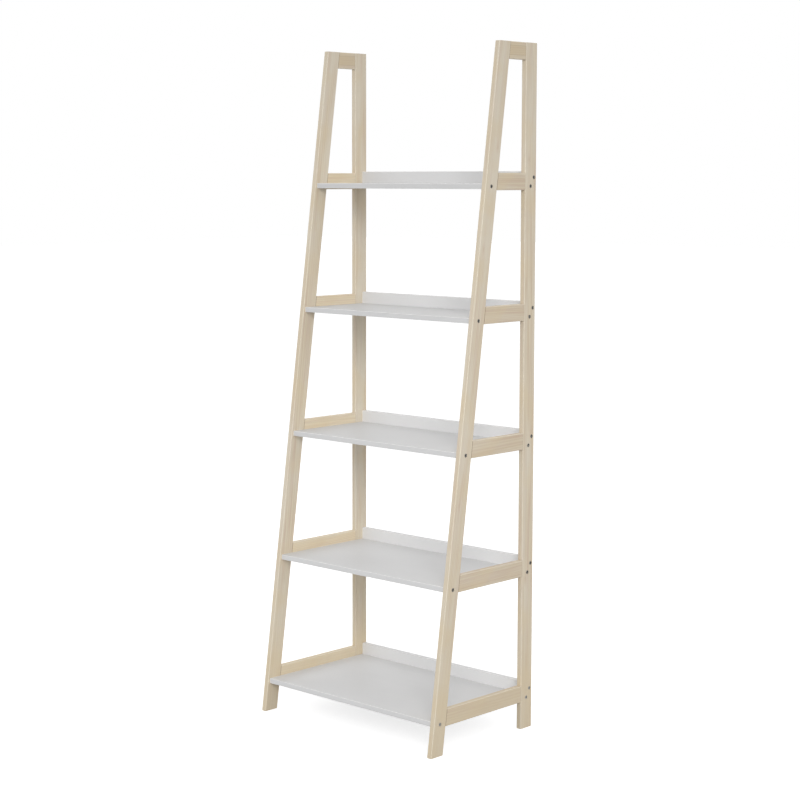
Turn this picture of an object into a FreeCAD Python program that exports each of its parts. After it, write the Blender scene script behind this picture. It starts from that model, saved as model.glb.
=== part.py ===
import FreeCAD, Part
import math
import os

# Ladder shelf: two leaning-front side frames of pale wood that carry five white boards.
# Millimetres. +X is the right-hand side seen from the front, +Y the back, +Z up.
# The origin is on the floor, under the middle of the footprint.

# Overall sizes
overall_height = 1829.0
overall_width = 635.0
floor_depth = 406.0
top_depth = 153.0

# Side frames
frame_thickness = 15.0
leg_width = 45.0
side_rail_height = 45.0
top_rail_height = 45.0
top_rail_set_in = 0.8
bar_rounding = 2.0
bar_end_rounding = 0.8

# Shelf levels, counted from the floor up
shelf_count = 5
foot_space_height = 74.0
hand_window_height = 292.0

# White boards
shelf_thickness = 14.0
shelf_above_rail_underside = 3.0
shelf_front_set_back = 6.0
back_rail_thickness = 15.0
back_rail_height = 32.5
back_rail_set_in = 2.0
back_rail_seat_depth = 2.0
board_rounding = 1.2

# Hex-socket connector screws
screw_length = 50.0
screw_head_diameter = 10.0
screw_head_cone_height = 2.6
screw_head_rim_height = 0.8
screw_shank_diameter = 6.3
screw_root_diameter = 4.6
screw_thread_pitch = 3.0
screw_tip_length = 4.0
screw_socket_width = 5.0
screw_socket_depth = 2.4
screw_head_sunk = 0.3
screw_clearance = 0.1
pilot_hole_end_space = 1.0

# Wooden dowels
frame_dowel_diameter = 6.0
frame_dowel_length = 30.0
frame_dowel_depth_in_leg = 12.0
frame_dowel_spacing = 20.0
board_dowel_diameter = 6.0
board_dowel_length = 24.0
board_dowel_depth_in_shelf = 8.0
board_dowel_count = 4
board_dowel_end_distance = 80.0
dowel_chamfer = 0.6
dowel_clearance = 0.1
dowel_end_space = 1.0

# Places that follow from the sizes above
back_y = floor_depth / 2.0
front_slope = (floor_depth - top_depth) / overall_height
front_leg_run = leg_width * math.sqrt(1.0 + front_slope * front_slope)
outer_x = overall_width / 2.0
inner_x = outer_x - frame_thickness
rear_leg_front_y = back_y - leg_width
rear_leg_middle_y = back_y - leg_width / 2.0
top_rail_bottom = overall_height - top_rail_height
highest_rail_bottom = top_rail_bottom - hand_window_height - side_rail_height
shelf_pitch = (highest_rail_bottom - foot_space_height) / (shelf_count - 1)
back_rail_rear_y = back_y - back_rail_set_in
back_rail_front_y = back_rail_rear_y - back_rail_thickness
back_rail_middle_y = back_rail_rear_y - back_rail_thickness / 2.0

SIDES = {"left": -1, "right": 1}
LEVELS = range(1, shelf_count + 1)


def front_line_y(z):
    """Y of the leaning front of the side frames at height z."""
    return front_slope * z - floor_depth / 2.0


def front_leg_rear_y(z):
    """Y of the front leg's rear edge at height z."""
    return front_line_y(z) + front_leg_run


def rail_bottom(level):
    """Height of a side rail's underside."""
    return foot_space_height + (level - 1) * shelf_pitch


def shelf_bottom(level):
    """Height of a shelf's underside."""
    return rail_bottom(level) + shelf_above_rail_underside


def shelf_middle(level):
    """Height of the middle of a shelf's thickness."""
    return shelf_bottom(level) + shelf_thickness / 2.0


def shelf_top(level):
    """Height of a shelf's upper face."""
    return shelf_bottom(level) + shelf_thickness


def shelf_front_y(level):
    """Y of a shelf's front edge, just behind the leaning front of the legs."""
    return front_line_y(shelf_middle(level)) + shelf_front_set_back


def back_rail_bottom(level):
    """Height of a back rail's underside, in its seat in the shelf."""
    return shelf_top(level) - back_rail_seat_depth


def back_rail_middle(level):
    """Height of the middle of the part of a back rail that stands above its shelf."""
    return shelf_top(level) + back_rail_height / 2.0


def front_screw_y(level):
    """Y of the front screw, on the centre line of the front leg."""
    return front_line_y(shelf_middle(level)) + front_leg_run / 2.0


def side_profile_bar(points, side, set_in=0.0):
    """Bar with a side-view outline of (y, z) points, as thick as the frame less a set-in on each face."""
    thickness = frame_thickness - 2.0 * set_in
    low_x = min(side * outer_x, side * inner_x) + set_in
    corners = [FreeCAD.Vector(low_x, y, z) for y, z in points]
    outline = Part.makePolygon(corners + corners[:1])
    return Part.Face(outline).extrude(FreeCAD.Vector(thickness, 0.0, 0.0))


def edges_along(shape, direction):
    """Straight edges that run in the given direction."""
    unit = FreeCAD.Vector(direction).normalize()
    found = []
    for edge in shape.Edges:
        span = edge.Vertexes[-1].Point.sub(edge.Vertexes[0].Point)
        if span.Length > 0.0 and abs(span.normalize().dot(unit)) > 0.9999:
            found.append(edge)
    return found


def round_long_edges(shape, direction, radius):
    """Round the edges that run along a bar or board."""
    return shape.makeFillet(radius, edges_along(shape, direction))


def round_level_ends(shape, radius):
    """Round the rims of the level faces at a leg's foot and top."""
    ends = [face for face in shape.Faces if abs(face.normalAt(0.0, 0.0).z) > 0.9999]
    rims = [edge for face in ends for edge in face.Edges]
    return shape.makeFillet(radius, rims)


def drill(start, direction, diameter, depth):
    """Round cutter or pin of the given diameter from start along direction."""
    return Part.makeCylinder(diameter / 2.0, depth, start, direction)


def cut_all(shape, cutters):
    """Take the cutters away and keep the one solid that is left."""
    return shape.cut(Part.Compound(cutters)).Solids[0]


def screw_place(kind, side, level):
    """Point on the outer face of a leg where a screw goes in."""
    if kind == "front":
        return FreeCAD.Vector(side * outer_x, front_screw_y(level), shelf_middle(level))
    if kind == "rear":
        return FreeCAD.Vector(side * outer_x, rear_leg_middle_y, shelf_middle(level))
    return FreeCAD.Vector(side * outer_x, back_rail_middle_y, back_rail_middle(level))


def inward(side):
    """Direction from a frame's outer face towards the middle of the shelf."""
    return FreeCAD.Vector(-side, 0.0, 0.0)


def screw_hole(kind, side, level):
    """Countersunk hole through a leg and pilot hole beyond it, as one cutter."""
    place = screw_place(kind, side, level)
    axis = inward(side)
    mouth_radius = screw_head_diameter / 2.0 + screw_clearance
    hole_radius = screw_shank_diameter / 2.0 + screw_clearance
    rim_depth = screw_head_sunk + screw_head_rim_height
    hole_depth = screw_head_sunk + screw_length + pilot_hole_end_space
    mouth = Part.makeCylinder(mouth_radius, rim_depth, place, axis)
    cone_start = place.add(FreeCAD.Vector(axis).multiply(rim_depth))
    cone = Part.makeCone(mouth_radius, hole_radius, screw_head_cone_height, cone_start, axis)
    hole = Part.makeCylinder(hole_radius, hole_depth, place, axis)
    return mouth.fuse([cone, hole])


def dowel(start, direction, diameter, length):
    """Wooden dowel with chamfered ends."""
    pin = drill(start, direction, diameter, length)
    rims = [edge for edge in pin.Edges if edge.Curve.TypeId == "Part::GeomCircle"]
    return pin.makeChamfer(dowel_chamfer, rims)


def dowel_hole(start, direction, diameter, length):
    """Hole for a dowel, with the dowel's clearance round it and past both ends."""
    unit = FreeCAD.Vector(direction).normalize()
    mouth = start.sub(FreeCAD.Vector(unit).multiply(dowel_end_space))
    return drill(mouth, unit, diameter + 2.0 * dowel_clearance, length + 2.0 * dowel_end_space)


def rail_dowel_heights(bottom, height):
    """Heights of the two dowels in the end of a rail."""
    middle = bottom + height / 2.0
    return [middle - frame_dowel_spacing / 2.0, middle + frame_dowel_spacing / 2.0]


def frame_dowel_places(side):
    """Start points and directions of the dowels of one side frame."""
    x = side * (outer_x - frame_thickness / 2.0)
    rails = [(rail_bottom(level), side_rail_height) for level in LEVELS]
    rails.append((top_rail_bottom, top_rail_height))
    backward = FreeCAD.Vector(0.0, 1.0, 0.0)
    forward = FreeCAD.Vector(0.0, -1.0, 0.0)
    places = []
    for bottom, height in rails:
        for z in rail_dowel_heights(bottom, height):
            front_start = front_leg_rear_y(z) - frame_dowel_depth_in_leg
            rear_start = rear_leg_front_y + frame_dowel_depth_in_leg
            places.append((FreeCAD.Vector(x, front_start, z), backward))
            places.append((FreeCAD.Vector(x, rear_start, z), forward))
    return places


def frame_dowels(side):
    """All dowels that join the rails of one side frame to its legs."""
    return [dowel(start, way, frame_dowel_diameter, frame_dowel_length)
            for start, way in frame_dowel_places(side)]


def frame_dowel_holes(side):
    """Holes for the dowels of one side frame."""
    return [dowel_hole(start, way, frame_dowel_diameter, frame_dowel_length)
            for start, way in frame_dowel_places(side)]


def front_leg(side):
    """Leaning front leg, cut level at the floor and at the top."""
    points = [
        (front_line_y(0.0), 0.0),
        (front_leg_rear_y(0.0), 0.0),
        (front_leg_rear_y(overall_height), overall_height),
        (front_line_y(overall_height), overall_height),
    ]
    bar = side_profile_bar(points, side)
    bar = round_long_edges(bar, FreeCAD.Vector(0.0, front_slope, 1.0), bar_rounding)
    bar = round_level_ends(bar, bar_end_rounding)
    screw_holes = [screw_hole("front", side, level) for level in LEVELS]
    return cut_all(bar, screw_holes + frame_dowel_holes(side))


def rear_leg(side):
    """Upright rear leg."""
    points = [
        (rear_leg_front_y, 0.0),
        (back_y, 0.0),
        (back_y, overall_height),
        (rear_leg_front_y, overall_height),
    ]
    bar = side_profile_bar(points, side)
    bar = round_long_edges(bar, FreeCAD.Vector(0.0, 0.0, 1.0), bar_rounding)
    bar = round_level_ends(bar, bar_end_rounding)
    screw_holes = [screw_hole(kind, side, level) for kind in ("rear", "back") for level in LEVELS]
    return cut_all(bar, screw_holes + frame_dowel_holes(side))


def rail_between_legs(side, bottom, height, set_in=0.0):
    """Level rail that fills the space between the two legs of a side frame."""
    top = bottom + height
    points = [
        (front_leg_rear_y(bottom), bottom),
        (rear_leg_front_y, bottom),
        (rear_leg_front_y, top),
        (front_leg_rear_y(top), top),
    ]
    bar = side_profile_bar(points, side, set_in)
    bar = round_long_edges(bar, FreeCAD.Vector(0.0, 1.0, 0.0), bar_rounding)
    return cut_all(bar, frame_dowel_holes(side))


def board_dowel_places(level):
    """Start points of the dowels that join a back rail to its shelf."""
    first_x = board_dowel_end_distance - inner_x
    step = (2.0 * inner_x - 2.0 * board_dowel_end_distance) / (board_dowel_count - 1)
    z = back_rail_bottom(level) - board_dowel_depth_in_shelf
    return [FreeCAD.Vector(first_x + index * step, back_rail_middle_y, z)
            for index in range(board_dowel_count)]


def board_dowels(level):
    """Dowels between a shelf and its back rail."""
    up = FreeCAD.Vector(0.0, 0.0, 1.0)
    return [dowel(start, up, board_dowel_diameter, board_dowel_length)
            for start in board_dowel_places(level)]


def board_dowel_holes(level):
    """Holes for the dowels between a shelf and its back rail."""
    up = FreeCAD.Vector(0.0, 0.0, 1.0)
    return [dowel_hole(start, up, board_dowel_diameter, board_dowel_length)
            for start in board_dowel_places(level)]


def board(front_y, rear_y, bottom, thickness):
    """Plain board between the inner faces of the two side frames."""
    corner = FreeCAD.Vector(-inner_x, front_y, bottom)
    return Part.makeBox(2.0 * inner_x, rear_y - front_y, thickness, corner)


def edges_at(shape, y, z):
    """Edges along X that lie at the given y and z."""
    found = []
    for edge in edges_along(shape, FreeCAD.Vector(1.0, 0.0, 0.0)):
        point = edge.Vertexes[0].Point
        if abs(point.y - y) < 1e-6 and abs(point.z - z) < 1e-6:
            found.append(edge)
    return found


def shelf(level):
    """White shelf board with a rounded front edge and a stepped seat for its back rail."""
    bottom = shelf_bottom(level)
    front_y = shelf_front_y(level)
    panel = board(front_y, back_rail_rear_y, bottom, shelf_thickness)
    front_edges = edges_at(panel, front_y, bottom) + edges_at(panel, front_y, shelf_top(level))
    panel = panel.makeFillet(board_rounding, front_edges)
    seat = board(back_rail_front_y, back_rail_rear_y, back_rail_bottom(level), back_rail_seat_depth)
    holes = [screw_hole(kind, side, level) for kind in ("front", "rear") for side in SIDES.values()]
    return cut_all(panel, [seat] + holes + board_dowel_holes(level))


def back_rail(level):
    """White back rail that stands in its seat at the rear of a shelf, with rounded top edges."""
    bottom = back_rail_bottom(level)
    top = shelf_top(level) + back_rail_height
    panel = board(back_rail_front_y, back_rail_rear_y, bottom, top - bottom)
    top_edges = edges_at(panel, back_rail_front_y, top) + edges_at(panel, back_rail_rear_y, top)
    panel = panel.makeFillet(board_rounding, top_edges)
    holes = [screw_hole("back", side, level) for side in SIDES.values()]
    return cut_all(panel, holes + board_dowel_holes(level))


def screw_profile():
    """Half outline of a screw as (distance along axis, radius), from head face to tip."""
    head_radius = screw_head_diameter / 2.0
    shank_radius = screw_shank_diameter / 2.0
    root_radius = screw_root_diameter / 2.0
    cone_end = screw_head_rim_height + screw_head_cone_height
    shank_end = frame_thickness - screw_head_sunk
    thread_end = screw_length - screw_tip_length
    thread_turns = int((thread_end - shank_end) / screw_thread_pitch)
    outline = [
        (0.0, 0.0),
        (0.0, head_radius),
        (screw_head_rim_height, head_radius),
        (cone_end, shank_radius),
        (shank_end, shank_radius),
        (shank_end, root_radius),
    ]
    for turn in range(thread_turns):
        start = shank_end + turn * screw_thread_pitch
        outline.append((start + 0.35 * screw_thread_pitch, root_radius))
        outline.append((start + 0.60 * screw_thread_pitch, shank_radius))
        outline.append((start + 0.85 * screw_thread_pitch, root_radius))
    outline.append((thread_end, root_radius))
    outline.append((screw_length, 0.4 * root_radius))
    outline.append((screw_length, 0.0))
    return outline


def hex_socket():
    """Six-sided socket in the head of a screw, along +X from the head face."""
    corner_radius = screw_socket_width / math.sqrt(3.0)
    corners = []
    for index in range(6):
        angle = math.radians(60.0 * index)
        corners.append(FreeCAD.Vector(0.0, corner_radius * math.cos(angle), corner_radius * math.sin(angle)))
    outline = Part.makePolygon(corners + corners[:1])
    return Part.Face(outline).extrude(FreeCAD.Vector(screw_socket_depth, 0.0, 0.0))


def screw_blank():
    """Screw with its head face at the origin and its axis along +X."""
    points = [FreeCAD.Vector(along, radius, 0.0) for along, radius in screw_profile()]
    outline = Part.makePolygon(points + points[:1])
    middle = FreeCAD.Vector(0.0, 0.0, 0.0)
    turned = Part.Face(outline).revolve(middle, FreeCAD.Vector(1.0, 0.0, 0.0), 360.0)
    return cut_all(turned, [hex_socket()])


def screws(kind, side):
    """One screw for each shelf level at the given kind of place."""
    blank = screw_blank()
    found = []
    for level in LEVELS:
        place = screw_place(kind, side, level).add(inward(side).multiply(screw_head_sunk))
        turn = FreeCAD.Rotation(FreeCAD.Vector(1.0, 0.0, 0.0), inward(side))
        piece = blank.copy()
        piece.Placement = FreeCAD.Placement(place, turn)
        found.append(piece)
    return found


def write_node(name, solids):
    """Write one node, a single solid or a group of like solids, as a STEP file."""
    shape = solids[0] if len(solids) == 1 else Part.Compound(solids)
    if not shape.isValid():
        raise ValueError("node %s isn't a valid shape" % name)
    shape.exportStep("parts/%s.step" % name)


def write_side_frame(name, side):
    """Write the legs, rails, dowels and screws of one side frame."""
    write_node("%s_front_leg" % name, [front_leg(side)])
    write_node("%s_rear_leg" % name, [rear_leg(side)])
    top_rail = rail_between_legs(side, top_rail_bottom, top_rail_height, top_rail_set_in)
    write_node("%s_top_rail" % name, [top_rail])
    for level in LEVELS:
        rail = rail_between_legs(side, rail_bottom(level), side_rail_height)
        write_node("%s_side_rail_%d" % (name, level), [rail])
    write_node("%s_frame_dowels" % name, frame_dowels(side))
    write_node("%s_front_shelf_screws" % name, screws("front", side))
    write_node("%s_rear_shelf_screws" % name, screws("rear", side))
    write_node("%s_back_rail_screws" % name, screws("back", side))


def write_shelves():
    """Write the shelves, the back rails and the dowels between them."""
    for level in LEVELS:
        write_node("shelf_%d" % level, [shelf(level)])
        write_node("back_rail_%d" % level, [back_rail(level)])
    dowels = [piece for level in LEVELS for piece in board_dowels(level)]
    write_node("back_rail_dowels", dowels)


def main():
    """Write every node of the ladder shelf."""
    os.makedirs("parts", exist_ok=True)
    for name, side in SIDES.items():
        write_side_frame(name, side)
    write_shelves()


main()
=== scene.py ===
"""Ladder shelf: two pale timber side frames, five white shelves and sunk hex-socket screws."""
import logging
import math
from collections.abc import Callable
from dataclasses import dataclass, field
from enum import Enum

import bmesh
import bpy
from mathutils import Matrix, Vector


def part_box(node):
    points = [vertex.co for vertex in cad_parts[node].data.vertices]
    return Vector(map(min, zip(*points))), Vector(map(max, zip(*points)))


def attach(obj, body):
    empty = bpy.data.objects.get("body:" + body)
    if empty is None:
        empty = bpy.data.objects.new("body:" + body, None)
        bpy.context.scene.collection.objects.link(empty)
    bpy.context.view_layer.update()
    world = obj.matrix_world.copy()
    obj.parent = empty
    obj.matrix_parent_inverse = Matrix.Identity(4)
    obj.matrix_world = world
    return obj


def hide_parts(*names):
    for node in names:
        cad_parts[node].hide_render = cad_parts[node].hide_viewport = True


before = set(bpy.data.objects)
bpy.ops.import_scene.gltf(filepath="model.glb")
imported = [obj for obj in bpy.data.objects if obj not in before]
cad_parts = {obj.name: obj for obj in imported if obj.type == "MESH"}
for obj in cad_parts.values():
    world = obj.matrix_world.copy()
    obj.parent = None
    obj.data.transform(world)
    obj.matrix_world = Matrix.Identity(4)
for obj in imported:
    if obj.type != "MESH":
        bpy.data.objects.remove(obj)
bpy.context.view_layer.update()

log = logging.getLogger("ladder_shelf")

LEVELS = (1, 2, 3, 4, 5)
MILLIMETRE = 0.001
FAR = 10.0
FULL_TURN = 2.0 * math.pi
QUARTER_TURN = math.pi / 2.0
SHARP_ANGLE = math.radians(32.0)

Colour = tuple[float, float, float]
Triple = tuple[float, float, float]
Wire = bpy.types.NodeSocket
Number = float | Wire
Direction = Triple | Wire
Tint = Colour | Wire

# Where a Mix node that mixes colours has its sockets
MIX_SHARE = 0
MIX_FIRST = 6
MIX_SECOND = 7
MIX_RESULT = 2

ORIGIN = (0.0, 0.0, 0.0)
WHITE = (1.0, 1.0, 1.0, 1.0)

# Order of sawing, which picks each piece's place in the tree
FIRST_RIGHT_BAR = 20
FIRST_SHELF = 40
FIRST_BACK_RAIL = 50
BOARD_DOWELS = 60


class Side(Enum):
    """The two side frames, with the direction of their outer face along X."""

    LEFT = -1.0
    RIGHT = 1.0

    @property
    def word(self) -> str:
        """Return the side's name as node names begin with it."""
        return self.name.lower()


class GrainRun(Enum):
    """Which way a leg's grain runs."""

    UPRIGHT = "upright"
    LEANING = "leaning"


class ScrewPlace(Enum):
    """What the screws in a row hold."""

    FRONT_SHELF = "front_shelf"
    REAR_SHELF = "rear_shelf"
    BACK_RAIL = "back_rail"


# Shader helpers


class Sheet:
    """Short-hand for adding and joining shader nodes in one node tree."""

    def __init__(self, tree: bpy.types.NodeTree) -> None:
        """Keep the tree that nodes are added to.

        Args:
            tree: node tree of a material, a world or a node group.
        """
        self.tree = tree

    def add(self, kind: str, inputs: dict | None = None, **settings: object) -> bpy.types.Node:
        """Add a node and set what is given for it.

        Args:
            kind: the node's type name.
            inputs: plain values or wires, by input name or number.
            settings: properties of the node itself.

        Returns:
            The new node.
        """
        node = self.tree.nodes.new(kind)
        for name, value in settings.items():
            setattr(node, name, value)
        for key, value in (inputs or {}).items():
            self.feed(node.inputs[key], value)
        return node

    def feed(self, socket: Wire, value: Number | Direction | Tint) -> None:
        """Join a wire to an input, or set the input to a plain value."""
        if isinstance(value, Wire):
            self.tree.links.new(value, socket)
        else:
            socket.default_value = value

    def math(self, operation: str, first: Number, second: Number = 0.0, third: Number = 0.0) -> Wire:
        """Add a Math node and return its result."""
        inputs = {0: first, 1: second, 2: third}
        return self.add("ShaderNodeMath", inputs, operation=operation).outputs[0]

    def vector(self, operation: str, first: Direction, second: Direction = ORIGIN) -> Wire:
        """Add a Vector Math node and return its vector."""
        return self.add("ShaderNodeVectorMath", {0: first, 1: second}, operation=operation).outputs[0]

    def measure(self, operation: str, first: Direction, second: Direction = ORIGIN) -> Wire:
        """Add a Vector Math node and return its number, such as a length or a dot product."""
        return self.add("ShaderNodeVectorMath", {0: first, 1: second}, operation=operation).outputs[1]

    def scaled(self, vector: Wire, factor: Number) -> Wire:
        """Scale a vector by a number or wire."""
        return self.add("ShaderNodeVectorMath", {0: vector, "Scale": factor}, operation="SCALE").outputs[0]

    def axis(self, vector: Wire, name: str) -> Wire:
        """Split a vector and return its part along one axis."""
        return self.add("ShaderNodeSeparateXYZ", {0: vector}).outputs[name]

    def step(
        self, value: Number, low: float, high: float, out_low: float = 0.0, out_high: float = 1.0
    ) -> Wire:
        """Add a smooth step from one range to another.

        Args:
            value: number or wire that is mapped.
            low: input where the step starts.
            high: input where the step ends.
            out_low: result where the step starts.
            out_high: result where the step ends.

        Returns:
            The mapped value's wire.
        """
        inputs = {"Value": value, "From Min": low, "From Max": high, "To Min": out_low, "To Max": out_high}
        node = self.add("ShaderNodeMapRange", inputs, interpolation_type="SMOOTHSTEP")
        return node.outputs["Result"]

    def noise(self, vector: Wire, scale: Number, detail: float = 2.0, roughness: float = 0.5) -> Wire:
        """Add a noise texture and return its value."""
        inputs = {"Vector": vector, "Scale": scale, "Detail": detail, "Roughness": roughness}
        return self.add("ShaderNodeTexNoise", inputs).outputs["Fac"]

    def mix(self, share: Number, first: Tint, second: Tint) -> Wire:
        """Mix two colours.

        Args:
            share: number or wire from 0 to 1.
            first: colour or wire at 0.
            second: colour or wire at 1.

        Returns:
            The mixed colour's wire.
        """
        node = self.add("ShaderNodeMix", data_type="RGBA")
        self.feed(node.inputs[MIX_SHARE], share)
        for number, tint in ((MIX_FIRST, first), (MIX_SECOND, second)):
            self.feed(node.inputs[number], tint if isinstance(tint, Wire) else (*tint, 1.0))
        return node.outputs[MIX_RESULT]

    def group(self, tree: bpy.types.NodeTree, inputs: dict) -> dict[str, Wire]:
        """Place a node group and return its output wires by name."""
        node = self.add("ShaderNodeGroup", node_tree=tree)
        for key, value in inputs.items():
            self.feed(node.inputs[key], value)
        return {socket.name: socket for socket in node.outputs}

    def surface(self, inputs: dict) -> None:
        """End a material with its Principled node."""
        shader = self.add("ShaderNodeBsdfPrincipled", inputs)
        self.add("ShaderNodeOutputMaterial", {"Surface": shader.outputs[0]})


class EffectGroup:
    """A shader node group with named inputs and outputs, built once and shared by the finishes."""

    def __init__(self, name: str, inputs: dict[str, float | Triple], outputs: tuple[str, ...]) -> None:
        """Start the group.

        Args:
            name: the group's name.
            inputs: default values by input name, where three numbers make a vector.
            outputs: names of the masks and heights that it gives out.
        """
        self.tree = bpy.data.node_groups.new(name, "ShaderNodeTree")
        for key, default in inputs.items():
            kind = "NodeSocketVector" if isinstance(default, tuple) else "NodeSocketFloat"
            socket = self.tree.interface.new_socket(key, in_out="INPUT", socket_type=kind)
            socket.default_value = default
        for key in outputs:
            self.tree.interface.new_socket(key, in_out="OUTPUT", socket_type="NodeSocketFloat")
        self.sheet = Sheet(self.tree)
        entry = self.sheet.add("NodeGroupInput")
        self.leave = self.sheet.add("NodeGroupOutput")
        self.given = [entry.outputs[key] for key in inputs]

    def close(self, **results: Wire) -> bpy.types.NodeTree:
        """Join the results to the outputs of the same names and return the group's tree."""
        for key, socket in results.items():
            self.sheet.feed(self.leave.inputs[key], socket)
        return self.tree


# Effects that more than one finish uses


def timber_grain() -> bpy.types.NodeTree:
    """Build the solid timber pattern, in metres, with Z along the grain.

    Long faces of a bar show lines and arches, and its cut ends show rings.

    Returns:
        The group, which gives rings, fibres, streaks, tone, pores and a height.
    """
    inputs = {"Vector": ORIGIN, "Offset": ORIGIN, "Drift": ORIGIN, "Ring Width": 0.004, "Waviness": 0.004}
    outputs = ("Rings", "Fibres", "Streaks", "Tone", "Pores", "Height")
    group = EffectGroup("Timber Grain", inputs, outputs)
    sheet = group.sheet
    own, offset, drift, ring_width, waviness = group.given
    wander = sheet.scaled(drift, sheet.axis(own, "Z"))
    place = sheet.vector("ADD", sheet.vector("ADD", own, offset), wander)

    slow = sheet.vector("MULTIPLY", place, (9.0, 9.0, 1.3))
    bend = sheet.add("ShaderNodeTexNoise", {"Vector": slow, "Scale": 1.0, "Detail": 2.5}).outputs["Color"]
    push = sheet.scaled(sheet.vector("SUBTRACT", bend, (0.5, 0.5, 0.5)), waviness)
    bent = sheet.vector("ADD", place, push)
    radius = sheet.measure("LENGTH", sheet.vector("MULTIPLY", bent, (1.0, 1.0, 0.0)))
    phase = sheet.math("FRACT", sheet.math("DIVIDE", radius, ring_width))
    rings = sheet.math("MULTIPLY", sheet.step(phase, 0.10, 0.86), sheet.step(phase, 0.88, 1.0, 1.0, 0.0))

    fibres = sheet.noise(sheet.vector("MULTIPLY", place, (1300.0, 1300.0, 14.0)), 1.0, 3.0, 0.6)
    streaks = sheet.noise(sheet.vector("MULTIPLY", bent, (210.0, 210.0, 3.0)), 1.0, 3.0, 0.6)
    tone = sheet.noise(sheet.vector("MULTIPLY", bent, (42.0, 42.0, 4.0)), 1.0, 2.0, 0.5)
    pores = sheet.step(sheet.noise(sheet.vector("MULTIPLY", place, (2600.0, 2600.0, 55.0)), 1.0), 0.62, 0.74)

    relief = sheet.math("MULTIPLY_ADD", rings, 0.35, sheet.math("MULTIPLY", fibres, 0.6))
    height = sheet.math("MULTIPLY_ADD", pores, -0.5, relief)
    return group.close(Rings=rings, Fibres=fibres, Streaks=streaks, Tone=tone, Pores=pores, Height=height)


def eased_edges() -> bpy.types.NodeTree:
    """Build the mask of a square-edged piece's edges, where its coating lies thinner and where the finishes
    paint their highlights.

    Returns:
        The group, whose mask is 1 on an edge and 0 on the flats, broken up a little.
    """
    inputs = {"Vector": ORIGIN, "Half Size": (0.01, 0.01, 0.01), "Width": 0.003}
    group = EffectGroup("Eased Edges", inputs, ("Edge",))
    sheet = group.sheet
    own, half_size, width = group.given
    depth = sheet.vector("SUBTRACT", half_size, sheet.vector("ABSOLUTE", own))
    first, second, third = sheet.add("ShaderNodeSeparateXYZ", {0: depth}).outputs
    least = sheet.math("MINIMUM", sheet.math("MINIMUM", first, second), third)
    most = sheet.math("MAXIMUM", sheet.math("MAXIMUM", first, second), third)
    total = sheet.math("ADD", sheet.math("ADD", first, second), third)
    to_edge = sheet.math("SUBTRACT", sheet.math("SUBTRACT", total, least), most)
    edge = sheet.step(sheet.math("DIVIDE", to_edge, width), 0.25, 1.0, 1.0, 0.0)
    broken = sheet.noise(sheet.vector("MULTIPLY", own, (160.0, 160.0, 60.0)), 1.0, 3.0)
    return group.close(Edge=sheet.math("MULTIPLY", edge, sheet.step(broken, 0.25, 0.55, 0.45, 1.0)))


def joint_line() -> bpy.types.NodeTree:
    """Build the mask of a narrow line beside a plane, such as the glue line where a rail meets a leg.

    Returns:
        The group, whose mask is 1 at the plane and falls to 0 over the width.
    """
    inputs = {"Vector": ORIGIN, "Normal": (0.0, 0.0, 1.0), "Offset": 0.0, "Width": 0.001}
    group = EffectGroup("Joint Line", inputs, ("Line",))
    sheet = group.sheet
    shared, normal, offset, width = group.given
    reach = sheet.measure("DOT_PRODUCT", shared, normal)
    away = sheet.math("ABSOLUTE", sheet.math("SUBTRACT", reach, offset))
    return group.close(Line=sheet.step(sheet.math("DIVIDE", away, width), 0.3, 1.0, 1.0, 0.0))


def pin_knot() -> bpy.types.NodeTree:
    """Build the mask of one small knot, drawn out along the grain.

    Returns:
        The group, which gives the knot's core and the halo around it.
    """
    inputs = {"Vector": ORIGIN, "Centre": ORIGIN, "Radius": 0.004}
    group = EffectGroup("Pin Knot", inputs, ("Core", "Halo"))
    sheet = group.sheet
    own, centre, radius = group.given
    away = sheet.vector("SUBTRACT", own, centre)
    stretched = sheet.vector("MULTIPLY", away, (1.0, 1.0, 0.36))
    ragged = sheet.noise(sheet.vector("MULTIPLY", away, (300.0, 300.0, 90.0)), 1.0, 2.0)
    span = sheet.math("DIVIDE", sheet.measure("LENGTH", stretched), radius)
    span = sheet.math("ADD", span, sheet.math("MULTIPLY_ADD", ragged, 0.8, -0.4))
    return group.close(Core=sheet.step(span, 0.35, 1.0, 1.0, 0.0), Halo=sheet.step(span, 0.8, 3.2, 1.0, 0.0))


def handling() -> bpy.types.NodeTree:
    """Build the slow blotches and fine specks that every coated surface has.

    Returns:
        The group, which gives blotches and specks.
    """
    inputs = {"Vector": ORIGIN, "Blotch Scale": 9.0, "Speck Scale": 900.0}
    group = EffectGroup("Handling", inputs, ("Blotches", "Specks"))
    sheet = group.sheet
    place, blotch_scale, speck_scale = group.given
    blotches = sheet.noise(place, blotch_scale, 4.0)
    return group.close(Blotches=blotches, Specks=sheet.noise(place, speck_scale, 1.0))


@dataclass(frozen=True)
class Effects:
    """The node groups that the finishes share."""

    grain: bpy.types.NodeTree = field(default_factory=timber_grain)
    edges: bpy.types.NodeTree = field(default_factory=eased_edges)
    line: bpy.types.NodeTree = field(default_factory=joint_line)
    knot: bpy.types.NodeTree = field(default_factory=pin_knot)
    handling: bpy.types.NodeTree = field(default_factory=handling)


# Where pieces lie


@dataclass(frozen=True)
class Plane:
    """A flat cut through a bar, as the points whose dot product with the normal is the offset."""

    normal: Triple
    offset: float


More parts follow.
